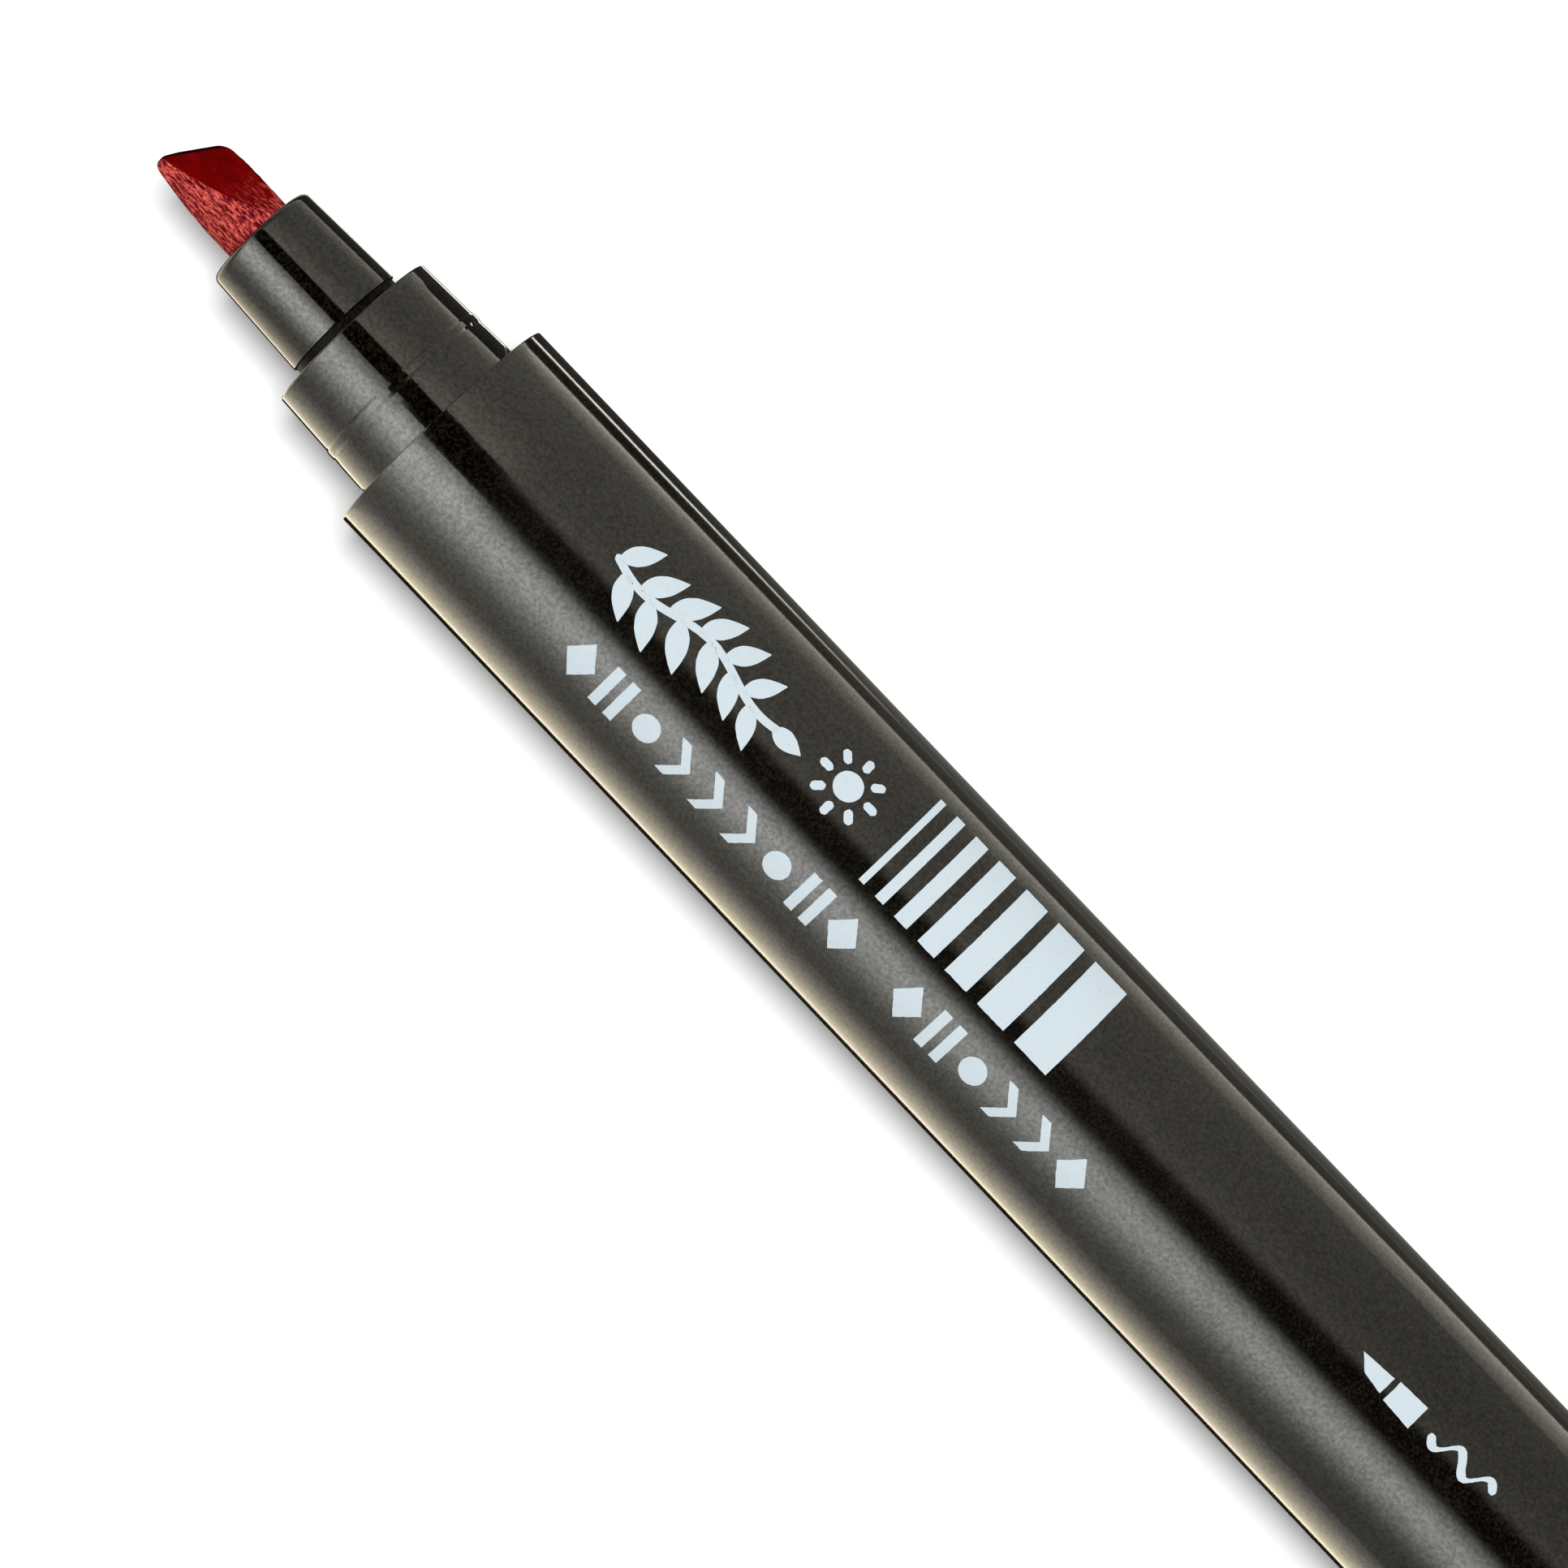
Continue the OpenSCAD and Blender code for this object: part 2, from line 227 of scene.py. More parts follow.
# ---------------------------------------------------------------- materials
class Shader:
    """One Principled material, built from a few node helpers."""

    def __init__(self, name, **sockets):
        self.mat = bpy.data.materials.new(name)
        self.mat.use_nodes = True
        self.tree = self.mat.node_tree
        self.bsdf = self.tree.nodes["Principled BSDF"]
        self.at = self.node("ShaderNodeTexCoord").outputs["Object"]
        for key, value in sockets.items():
            self.bsdf.inputs[key.replace("_", " ")].default_value = value

    def node(self, kind, **settings):
        made = self.tree.nodes.new(kind)
        for key, value in settings.items():
            setattr(made, key, value)
        return made

    def link(self, out, socket):
        self.tree.links.new(out, socket)
        return out

    def scaled(self, x, y, z):
        made = self.node("ShaderNodeMapping")
        self.link(self.at, made.inputs["Vector"])
        made.inputs["Scale"].default_value = (x, y, z)
        return made.outputs["Vector"]

    def noise(self, scale, detail=3.0, rough=0.5, at=None, distort=0.0):
        made = self.node("ShaderNodeTexNoise")
        self.link(at or self.at, made.inputs["Vector"])
        made.inputs["Scale"].default_value = scale
        made.inputs["Detail"].default_value = detail
        made.inputs["Roughness"].default_value = rough
        made.inputs["Distortion"].default_value = distort
        return made.outputs["Fac"]

    def ramp(self, fac, stops):
        made = self.node("ShaderNodeValToRGB")
        self.link(fac, made.inputs["Fac"])
        elements = made.color_ramp.elements
        while len(elements) < len(stops):
            elements.new(0.5)
        for element, (at, colour) in zip(elements, stops):
            element.position = at
            element.color = (*colour, 1) if isinstance(colour, tuple) else (colour,) * 3 + (1,)
        return made.outputs["Color"]

    def mix(self, fac, a, b):
        made = self.node("ShaderNodeMix", data_type="RGBA")
        for value, socket in ((fac, made.inputs[0]), (a, made.inputs[6]), (b, made.inputs[7])):
            if isinstance(value, bpy.types.NodeSocket):
                self.link(value, socket)
            else:
                socket.default_value = (*value, 1) if isinstance(value, tuple) else value
        return made.outputs[2]

    def to_range(self, value, lo, hi, out_lo, out_hi):
        made = self.node("ShaderNodeMapRange")
        self.link(value, made.inputs["Value"])
        for key, number in zip(("From Min", "From Max", "To Min", "To Max"), (lo, hi, out_lo, out_hi)):
            made.inputs[key].default_value = number
        return made.outputs["Result"]

    def math(self, how, a, b):
        made = self.node("ShaderNodeMath", operation=how)
        for value, socket in ((a, made.inputs[0]), (b, made.inputs[1])):
            if isinstance(value, bpy.types.NodeSocket):
                self.link(value, socket)
            else:
                socket.default_value = value
        return made.outputs[0]

    def bump(self, height, distance, strength=1.0, below=None):
        made = self.node("ShaderNodeBump")
        self.link(height, made.inputs["Height"])
        made.inputs["Distance"].default_value = distance
        made.inputs["Strength"].default_value = strength
        if below is not None:
            self.link(below, made.inputs["Normal"])
        return made.outputs["Normal"]

    def attribute(self, name):
        return self.node("ShaderNodeAttribute", attribute_name=name).outputs["Fac"]

    def set(self, **links):
        for key, out in links.items():
            self.link(out, self.bsdf.inputs[key.replace("_", " ")])
        return self


def moulded(name, deep, pale, rough, grain=1.0, speck=5200, **sockets):
    """Injection-moulded plastic: faint mottle in the colour, flow marks, rubbed patches and a fine grain."""
    s = Shader(name, **sockets)
    fine = s.noise(speck, 2.0, 0.6)
    colour = s.ramp(s.mix(0.25, fine, s.noise(700, 4.0, 0.6)), [(0.46, deep), (0.64, pale)])
    sheen = s.to_range(s.noise(speck * 0.8, 2.0, 0.6, distort=0.4), 0.35, 0.65, 0.38, 0.62)
    handled = s.noise(60, 5.0, 0.6, s.scaled(0.35, 1, 1), 0.4)
    flow = s.noise(900, 3.0, 0.55, s.scaled(0.04, 1, 1))
    scuffs = s.ramp(s.noise(2600, 2.0, 0.5, s.scaled(0.05, 1, 1), 1.2), [(0.68, 0.0), (0.76, 1.0)])
    roughness = s.math("ADD", s.to_range(handled, 0.35, 0.7, rough * 0.82, rough * 1.2),
                       s.math("MULTIPLY", scuffs, 0.03))
    height = s.bump(fine, 1.4e-6 * grain)
    height = s.bump(flow, 8e-7 * grain, 0.6, height)
    height = s.bump(handled, 6e-6 * grain, 0.5, height)
    s.set(Base_Color=colour, Roughness=roughness, Normal=height)
    if "Specular_IOR_Level" not in sockets:
        s.set(Specular_IOR_Level=sheen)
    return s.mat


def felt():
    """Pressed ink-soaked felt: smooth dark ground facets, their colour partly wet ink and partly painted
    shade of facets turned from the light, and a paler fibrous side with ink-dark streaks.
    """
    s = Shader("inked_felt", Specular_IOR_Level=0.008)
    facet = s.attribute("facet")
    streak = s.noise(7000, 3.0, 0.6, s.scaled(0.24, 1, 1), 0.2)
    fine = s.noise(13000, 2.0, 0.6, s.scaled(0.35, 1, 1))
    cloud = s.noise(900, 3.0, 0.55, s.scaled(0.6, 1, 1))
    side = s.ramp(s.mix(0.35, streak, fine), [
        (0.40, (0.030, 0.0003, 0.003)), (0.455, (0.12, 0.005, 0.011)), (0.50, (0.28, 0.030, 0.027)),
        (0.54, (0.48, 0.062, 0.050)), (0.62, (0.72, 0.15, 0.11))])
    side = s.mix(s.to_range(cloud, 0.35, 0.65, 0.25, 0.0), side, (0.10, 0.006, 0.008))
    # painted shade: the ground facets get a darker colour, partly their own wet ink, partly the shade of
    # facets turned away from the light
    facet_ink_and_shade = s.ramp(s.mix(0.5, cloud, fine), [
        (0.34, (0.054, 0.0, 0.0)), (0.50, (0.097, 0.0, 0.0)), (0.66, (0.16, 0.0004, 0.0010))])
    colour = s.mix(facet, side, facet_ink_and_shade)
    colour = s.mix(s.attribute("soak"), colour, (0.006, 0.0, 0.0))
    height = s.bump(streak, 2.5e-5, 0.7)
    height = s.bump(fine, 6e-6, 0.6, height)
    s.set(Base_Color=colour, Normal=height, Roughness=s.to_range(facet, 0, 1, 0.85, 0.6))
    return s.mat


def fibre():
    """Bundled polyester fibre of the ink reservoir, soaked unevenly with red ink."""
    s = Shader("inked_fibre", Specular_IOR_Level=0.2, Roughness=0.75)
    strand = s.noise(3200, 3.0, 0.6, s.scaled(0.015, 1, 1))
    soak = s.noise(90, 4.0, 0.5)
    colour = s.mix(s.to_range(soak, 0.3, 0.7, 0.0, 0.6),
                   s.ramp(strand, [(0.3, (0.20, 0.010, 0.012)), (0.7, (0.62, 0.10, 0.08))]),
                   (0.25, 0.012, 0.014))
    s.set(Base_Color=colour, Normal=s.bump(strand, 4e-5))
    return s.mat


def film():
    """Thin clear wrapping film with a few creases."""
    s = Shader("clear_film", Base_Color=(0.9, 0.92, 0.94, 1), Roughness=0.12, IOR=1.5)
    s.bsdf.inputs["Transmission Weight"].default_value = 0.85
    crease = s.noise(220, 4.0, 0.6, s.scaled(0.3, 1, 1), 0.6)
    s.set(Normal=s.bump(crease, 4e-5, 0.6), Roughness=s.to_range(crease, 0.3, 0.7, 0.08, 0.3))
    return s.mat


def printed():
    """Pad-printed ink: matt, slightly uneven in cover, with pinholes."""
    s = Shader("printed_ink", Specular_IOR_Level=0.15)
    cover = s.noise(2600, 4.0, 0.6)
    pin = s.ramp(s.noise(9000, 1.0, 0.5), [(0.20, 0.0), (0.27, 1.0)])
    colour = s.mix(s.to_range(cover, 0.3, 0.7, 0.0, 0.22), (0.455, 0.52, 0.555), (0.39, 0.45, 0.485))
    colour = s.mix(pin, (0.20, 0.23, 0.25), colour)
    s.set(Base_Color=colour, Roughness=s.to_range(cover, 0.3, 0.7, 0.45, 0.65),
          Normal=s.bump(cover, 3e-6, 0.6))
    return s.mat


BLACK = (0.0001, 0.00005, 0.00003), (0.0085, 0.0066, 0.0040)
RED = (0.30, 0.005, 0.008), (0.38, 0.009, 0.012)
barrel_mat = moulded("barrel_plastic", *BLACK, rough=0.085, grain=1.0)
nose_mat = moulded("nose_plastic", *BLACK, rough=0.07, grain=0.6)
# painted shade: a dull, weakly reflecting finish on the holder's neck stands in for the shade in the groove
# between collar and holder
neck_shade_mat = moulded("nose_plastic_recess", *BLACK, rough=0.5, grain=3.0, Specular_IOR_Level=0.05)
red_mat = moulded("red_plastic", *RED, rough=0.2, grain=1.2, Specular_IOR_Level=0.33)
natural_mat = moulded("natural_plastic", (0.70, 0.69, 0.64), (0.78, 0.77, 0.72), rough=0.35, grain=1.4)
natural_mat.node_tree.nodes["Principled BSDF"].inputs["Subsurface Weight"].default_value = 0.2
natural_mat.node_tree.nodes["Principled BSDF"].inputs["Subsurface Scale"].default_value = 0.001
felt_mat, fibre_mat, film_mat, ink_mat = felt(), fibre(), film(), printed()


def piece(obj, body, material, nodes=()):
    """Gives a finished piece its material and body, and hides the CAD nodes it stands for."""
    obj.data.materials.clear()
    obj.data.materials.append(material)
    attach(obj, body)
    if nodes:
        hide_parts(*nodes)
    return obj


# ---------------------------------------------------------------- barrel
barrel = lathe("barrel_tube", fillet([
    (0, BORE_R, 0.05), (0, BARREL_R, 0.09), (-BAND_L, BARREL_R), (BARREL_BACK, TAIL_R, 0.05),
    (BARREL_BACK, BORE_R, 0.05)]), turn=256)
piece(barrel, "marker", barrel_mat, ["barrel"])

# ---------------------------------------------------------------- cap seat, on collar and tail stub
SEAT_L = COLLAR_HI[0]
SEAT = [(0, 6.085), (2.3, 6.0, 0.5), (2.84, 5.955, 0.08), (3.04, 6.015, 0.06), (3.4, 6.01, 0.06),
        (3.6, 5.935, 0.08), (SEAT_L - 0.09, 5.785, 0.1), (SEAT_L, 5.70, 0.05)]
SKIRT_R = BORE_R - 0.02
COLLAR_BORE = 4.8

collar = lathe("snap_collar", fillet(
    [(COLLAR_LO[0], COLLAR_BORE), (COLLAR_LO[0], SKIRT_R, 0.2), (0, SKIRT_R)] + SEAT
    + [(SEAT_L, COLLAR_BORE, 0.06)]), turn=224)
piece(collar, "marker", nose_mat, ["collar"])

# ---------------------------------------------------------------- nib holder
NECK_X = SEAT_L - 0.07
HOLDER_BACK_X = SEAT_L + 0.67
HOLDER_X = HOLDER_HI[0]
HOLDER_BODY_R = COLLAR_BORE - 0.02
NECK_R, HOLDER_BACK_R, HOLDER_RIM_R = 3.88, 4.03, 3.73
SLEEVE_R = 3.9    # bore behind the nib's grip
GRIP_X = -2    # back end of the nib's grip
NIB_MOUTH_R, NIB_GRIP_R, VENT_R = 2.5, 2.35, 2.9
VENT_HALF = 0.4


def vents(x, r, a):
    """Opens three air grooves along the nib's bore."""
    if r > NIB_MOUTH_R + 0.12 or x < GRIP_X - 0.01:
        return x, r
    off = (a - math.pi / 2 + math.pi / 3) % (2 * math.pi / 3) - math.pi / 3
    return (x, VENT_R) if abs(off) * NIB_MOUTH_R < VENT_HALF else (x, r)


holder = lathe("nib_holder_cone", fillet([
    (HOLDER_LO[0], SLEEVE_R), (HOLDER_LO[0], HOLDER_BODY_R, 0.2), (NECK_X, HOLDER_BODY_R, 0.05),
    (NECK_X, NECK_R), (HOLDER_BACK_X, NECK_R), (HOLDER_BACK_X, HOLDER_BACK_R, 0.08),
    (HOLDER_X, HOLDER_RIM_R, 0.42), (HOLDER_X, NIB_MOUTH_R, 0.08), (6, NIB_MOUTH_R), (5.7, NIB_GRIP_R),
    (GRIP_X, NIB_GRIP_R), (GRIP_X, SLEEVE_R)]),
    turn=216, warp=vents)
piece(holder, "marker", nose_mat, ["nib_holder"])
# the neck's faces take the painted-shade finish
holder.data.materials.append(neck_shade_mat)
for face in holder.data.polygons:
    if (NECK_X - 0.1) * MM < face.center.x < (HOLDER_BACK_X + 0.05) * MM:
        face.material_index = 1

# ---------------------------------------------------------------- nib
NIB_R = 2.28
NIB_TIP, NIB_BACK = 23.0, -19.0
NIB_SLANT, NIB_FACET = math.radians(24.3), math.radians(14.9)
NIB_EDGE = 0.88    # thickness of the chisel at its edge
NIB_ROUND = 0.62    # rounding of the writing edge's corners
HEEL_X = 17    # the writing edge's short end is ink-dark from here on
NIB_ROLL, NIB_LEAN, LEAN_X = math.radians(45), math.radians(0.5), 2.0
NIB_AROUND = 320


def both(a, b, k):
    """Distance outside two shapes at once, with their common edge rounded by k."""
    return np.minimum(np.maximum(a, b), -k) + np.hypot(np.maximum(a + k, 0), np.maximum(b + k, 0))


def nib_outside(x, y, z):
    rod = np.hypot(y, z) - NIB_R
    edge = (x - NIB_TIP) * math.cos(NIB_SLANT) - (y - NIB_R) * math.sin(NIB_SLANT)
    facet = (np.abs(z) - NIB_EDGE / 2 - (NIB_TIP - x) * math.tan(NIB_FACET)) * math.cos(NIB_FACET)
    blunt = 0.07 + 0.24 * np.clip((y - 0.9) / 1.1, 0, 1)
    return both(both(rod, edge, NIB_ROUND), facet, blunt), np.maximum(facet, edge) - rod


def nib_ring(u, shear):
    """Evenly spaced points round the nib where a slanted plane cuts it."""
    angle = np.linspace(0, 2 * math.pi, 1441)
    c, s = np.cos(angle), np.sin(angle)
    lo, hi = np.zeros_like(angle), np.full_like(angle, NIB_R * 1.3)
    for _ in range(40):
        mid = (lo + hi) / 2
        outside = nib_outside(u + mid * c * shear, mid * c, mid * s)[0] > 0
        hi, lo = np.where(outside, mid, hi), np.where(outside, lo, mid)
    y, z = lo * c, lo * s
    length = np.concatenate([[0], np.cumsum(np.hypot(np.diff(y), np.diff(z)))])
    at = np.arange(NIB_AROUND) / NIB_AROUND * length[-1]
    y, z = np.interp(at, length, y), np.interp(at, length, z)
    return np.stack([u + y * shear, y, z], 1)


def build_nib():
    front = NIB_TIP - NIB_R * math.tan(NIB_SLANT)
    rounding = NIB_ROUND / math.cos(NIB_SLANT) + 0.02
    stations = [NIB_BACK + 2, -10, 0, 6, 12, 14] + list(np.arange(14.5, front - rounding - 0.04, 0.11))
    stations += [front - rounding * (1 - math.sin(math.radians(t))) for t in range(0, 90, 5)]
    stations += [front - 0.0005]
    rings = []
    for u in stations:
        t = min(max((u - 14) / 6, 0), 1)
        rings.append(nib_ring(u, math.tan(NIB_SLANT) * t * t * (3 - 2 * t)))
    n, verts, faces = NIB_AROUND, np.concatenate(rings), []
    for i in range(len(rings) - 1):
        for k in range(n):
            m = (k + 1) % n
            faces.append((i * n + k, i * n + m, (i + 1) * n + m, (i + 1) * n + k))
    # the writing edge: a grid between the two long sides of the last ring
    last, across = (len(rings) - 1) * n, 6
    columns, extra = [[last]], []
    for k in range(1, n // 2):
        a, b = verts[last + k], verts[last + n - k]
        base = len(verts) + len(extra)
        extra += [a + (b - a) * j / across for j in range(1, across)]
        columns.append([last + k] + list(range(base, base + across - 1)) + [last + n - k])
    columns.append([last + n // 2])
    for a, b in zip(columns, columns[1:]):
        for j in range(across):
            quad = [a[min(j, len(a) - 1)], a[min(j + 1, len(a) - 1)],
                    b[min(j + 1, len(b) - 1)], b[min(j, len(b) - 1)]]
            quad = list(dict.fromkeys(quad))
            if len(quad) > 2:
                faces.append(quad)
    verts = np.concatenate([verts, np.array(extra)])
    # the blunt cone at the back
    base = len(verts)
    angle = np.arange(n) * 2 * math.pi / n
    verts = np.concatenate([verts, np.stack(
        [np.full(n, NIB_BACK), NIB_R / 2 * np.cos(angle), NIB_R / 2 * np.sin(angle)], 1)])
    faces += [(k, (k + 1) % n, base + (k + 1) % n, base + k) for k in range(n)]
    faces.append(tuple(range(base, base + n)))
    # fibres: shallow streaks along the rod, nearly smoothed away on the ground facets
    which = nib_outside(verts[:, 0], verts[:, 1], verts[:, 2])[1]
    facet = np.clip((which + 0.05) / 0.07, 0, 1)
    ahead = (verts[:, 0] - NIB_TIP) * math.cos(NIB_SLANT) - (verts[:, 1] - NIB_R) * math.sin(NIB_SLANT)
    heel = np.clip(1.3 - np.abs(which + 0.02) / 0.10, 0, 1)
    heel = heel * np.clip(-0.4 - 2 * verts[:, 1], 0, 1) * np.clip(verts[:, 0] - HEEL_X, 0, 1)
    soak = np.maximum(np.clip((ahead + 0.33) / 0.14, 0, 1), heel)
    radial = verts * [0, 1, 1]
    radial = radial / np.maximum(np.linalg.norm(radial, axis=1), 1e-6)[:, None]
    for i, (x, y, z) in enumerate(verts):
        if x < 12:
            continue
        streak = noise.noise(Vector((x * 1.1, y * 8, z * 8))) + 0.5 * noise.noise(
            Vector((x * 3 + 7, y * 17, z * 17)))
        wander = noise.noise(Vector((x * 1.0 + 3, y * 6, z * 6)))
        near_back = min(max((18.9 - x) / 2.6, 0), 1)
        facet[i] = min(max(facet[i] - near_back * (0.23 + 0.95 * wander), 0), 1)
        depth = 0.030 * (1 - facet[i]) + 0.005 * facet[i]
        verts[i] -= radial[i] * depth * (0.45 + streak)
    c, s = math.cos(NIB_ROLL), math.sin(NIB_ROLL)
    y, z = verts[:, 1] * c - verts[:, 2] * s, verts[:, 1] * s + verts[:, 2] * c
    x = verts[:, 0] - LEAN_X
    c, s = math.cos(-NIB_LEAN), math.sin(-NIB_LEAN)
    verts = np.stack([x * c - y * s + LEAN_X, x * s + y * c, z], 1)
    return make_object("felt_nib", verts, faces, sharp=60, colours={"facet": facet, "soak": soak})


piece(build_nib(), "marker", felt_mat, ["nib"])

# ---------------------------------------------------------------- reservoir
SOCKET_R, SOCKET_L = 2.58, 6.5


def bundled(x, r, a):
    """Fine strands on the core's outside."""
    if r < 5:
        return x, r
    return x, r - 0.02 * (1 + noise.noise(Vector((x * 0.05, 40 * math.cos(a), 40 * math.sin(a)))))


core_x = np.linspace(CORE_HI[0], CORE_LO[0], 60)
core = lathe("fibre_reservoir", [(CORE_HI[0] - SOCKET_L, 0), (CORE_HI[0] - SOCKET_L, SOCKET_R),
                                 (CORE_HI[0], SOCKET_R)]
             + [(x, CORE_HI[2]) for x in core_x] + [(CORE_LO[0], 0)], turn=288, warp=bundled)
piece(core, "marker", fibre_mat, ["reservoir_core"])

FILM_R, FILM_IN = FILM_HI[2], FILM_HI[2] - 0.25
wrap = lathe("reservoir_film_sleeve", [(FILM_HI[0], FILM_IN), (FILM_HI[0], FILM_R), (FILM_LO[0], FILM_R),
                                       (FILM_LO[0], FILM_IN)], turn=192)
piece(wrap, "marker", film_mat, ["reservoir_film"])

# ---------------------------------------------------------------- tail plug
FLANGE_X = BARREL_BACK - 1.2
STUB_R = 4.6
PLUG_IN = SKIRT_R - 1.2
plug = lathe("tail_plug_stub", fillet(
    [(PLUG_LO[0] + 1.4, 0), (PLUG_LO[0] + 1.4, STUB_R, 0.3), (BARREL_BACK - 0.6, STUB_R),
     (BARREL_BACK + 1.2, PLUG_IN), (PLUG_HI[0], PLUG_IN, 0.1), (PLUG_HI[0], SKIRT_R, 0.3),
     (BARREL_BACK, SKIRT_R), (BARREL_BACK, TAIL_R, 0.12), (FLANGE_X, TAIL_R, 0.2)]
    + [(FLANGE_X - p[0], *p[1:]) for p in SEAT] + [(PLUG_LO[0], 0)], closed=False), turn=224)
piece(plug, "marker", red_mat, ["tail_plug"])

# ---------------------------------------------------------------- cap
MOUTH_X, CAP_END_X = SHELL_HI[0], SHELL_LO[0]
CAP_MOUTH_R, CAP_END_R, MOUTH_BORE, CAVITY_R = 8.0, 7.75, 6.21, 6.1
hinge_y, hinge_z = HINGE["pos_m"][1] / MM, HINGE["pos_m"][2] / MM
HINGE_H = math.hypot(hinge_y, hinge_z)
HINGE_U = MOUTH_X - HINGE["pos_m"][0] / MM
OUT_Y, OUT_Z = hinge_y / HINGE_H, hinge_z / HINGE_H
CLIP_W, CLIP_T, CLIP_H = 4.4, 1.4, 9.2
KNUCKLE_R, ROOT_T = 0.9, 2.4
PAD_U, PAD_H, PAD_R, CLIP_FREE = 6.7, 8.3, 1.6, 4.5


def on_clip(u, w, h):
    """A point at u from the cap's mouth, w across the clip and h out from the cap's axis."""
    return MOUTH_X - u, w * OUT_Z + h * OUT_Y, -w * OUT_Y + h * OUT_Z


def lip(x):
    return MOUTH_X - x


cap_outer = [(lip(0), CAP_MOUTH_R - 0.12, 0.12), (lip(0.5), CAP_MOUTH_R, 0.3),
             (lip(2.6), CAP_MOUTH_R - 0.02, 0.05), (lip(2.75), CAP_MOUTH_R - 0.13, 0.08),
             (lip(3.15), CAP_MOUTH_R - 0.13, 0.08),
             (lip(3.3), CAP_MOUTH_R - 0.025, 0.05), (CAP_END_X, CAP_END_R, 1.3)]
cap_crown = [(CAP_END_X, 4.6, 0.4), (CAP_END_X + 0.28, 4.1, 0.4), (CAP_END_X + 0.28, 0)]
cap_inner = [(CAP_END_X + 2, 0), (CAP_END_X + 2, CAVITY_R, 0.3), (lip(8.6), CAVITY_R), (lip(8.6), MOUTH_BORE),
             (lip(0.3), MOUTH_BORE, 0.1), (lip(0), MOUTH_BORE + 0.3, 0.1)]
shell = lathe("cap_body", fillet(cap_inner + cap_outer + cap_crown, steps=8, closed=False), turn=224)
boss = slab("boss", fillet([
    (HINGE_U - 1.9, 5.5), (HINGE_U + 1.9, 5.5), (HINGE_U + 1.9, 9.0, 0.35), (HINGE_U - 1.9, 9.0, 0.9)]),
    6.6, 0.3, on_clip)
shell = cut(shell, boss, "UNION")
SOCKET_ROUND, SOCKET_TOP = KNUCKLE_R + 0.1, 12
slot_outline = [(HINGE_U - SOCKET_ROUND, SOCKET_TOP), (HINGE_U - SOCKET_ROUND, HINGE_H)]
for k in range(13):
    t = math.pi + math.pi * k / 12
    slot_outline.append((HINGE_U + SOCKET_ROUND * math.cos(t), HINGE_H + SOCKET_ROUND * math.sin(t)))
slot_outline = [p for p in slot_outline if not (p[0] > HINGE_U and p[1] > HINGE_H - 0.3)]
slot_outline += [(HINGE_U + 4, HINGE_H - 0.3), (HINGE_U + 4, SOCKET_TOP)]
shell = cut(shell, slab("socket", slot_outline, CLIP_W + 0.4, 0.02, on_clip, steps=1), "DIFFERENCE")
piece(shell, "cap", red_mat, ["cap_shell"])

LINER_R, LINER_BORE = LINER_HI[2], 4.9
liner = lathe("cap_liner_cup", fillet([
    (LINER_LO[0] + 1.2, 0), (LINER_LO[0] + 1.2, LINER_BORE, 0.5), (LINER_HI[0], LINER_BORE, 0.15),
    (LINER_HI[0], LINER_R, 0.3), (LINER_LO[0], LINER_R, 0.4), (LINER_LO[0], 0)], closed=False), turn=160)
piece(liner, "cap", natural_mat, ["cap_liner"])

# ---------------------------------------------------------------- clip
CLIP_TOP = CLIP_H + CLIP_T
pad = []
for k in range(15):
    t = math.radians(205 + 130 * k / 14)
    pad.append((PAD_U + PAD_R * math.cos(t), PAD_H + PAD_R + PAD_R * math.sin(t)))
pad = [p for p in pad if p[1] < CLIP_H]
knuckle = []
for k in range(15):
    t = math.pi + math.pi * k / 14
    knuckle.append((HINGE_U + KNUCKLE_R * math.cos(t), HINGE_H + KNUCKLE_R * math.sin(t)))
clip_line = fillet([(CLIP_FREE, CLIP_H, 0.35)], closed=False)
clip_line += pad + [(HINGE_U - KNUCKLE_R - 0.5, CLIP_H), (HINGE_U - KNUCKLE_R - 0.12, CLIP_H - 0.1),
                    (HINGE_U - KNUCKLE_R, CLIP_H - 0.4)]
clip_line += [p for p in knuckle if not (p[0] > HINGE_U + 0.1)]
clip_line += [(HINGE_U + 0.5, HINGE_H - KNUCKLE_R + 0.15), (HINGE_U + KNUCKLE_R, HINGE_H),
              (HINGE_U + ROOT_T / 2, HINGE_H + 0.02), (HINGE_U + ROOT_T / 2, CLIP_TOP - 0.7)]
for k in range(7):
    t = math.pi / 2 * k / 6
    clip_line.append((HINGE_U + ROOT_T / 2 - 0.7 + 0.7 * math.cos(t), CLIP_TOP - 0.7 + 0.7 * math.sin(t)))
for k in range(7):
    t = math.pi / 2 + math.pi / 2 * k / 6
    clip_line.append((CLIP_FREE + 0.7 + 0.7 * math.cos(t), CLIP_TOP - 0.7 + 0.7 * math.sin(t)))
clip = slab("cap_clip_bar", clip_line, CLIP_W, 0.3, on_clip)
piece(clip, "clip", red_mat, ["cap_clip"])


# ---------------------------------------------------------------- printed marks on the barrel
INK_UP, INK_DOWN = 0.016, 0.002    # the ink's outer and inner face, above the barrel
INK_GRID = 0.25    # spacing of the points in a patch
STROKE_END = 0.5    # a stroke's ends are rounded over this share of its width


def on_barrel(x, arc, up):
    """The point at x, arc millimetres round the barrel from the top, at a height above its surface."""
    r = barrel_radius(x)
    return x, (r + up) * math.sin(arc / r), (r + up) * math.cos(arc / r)


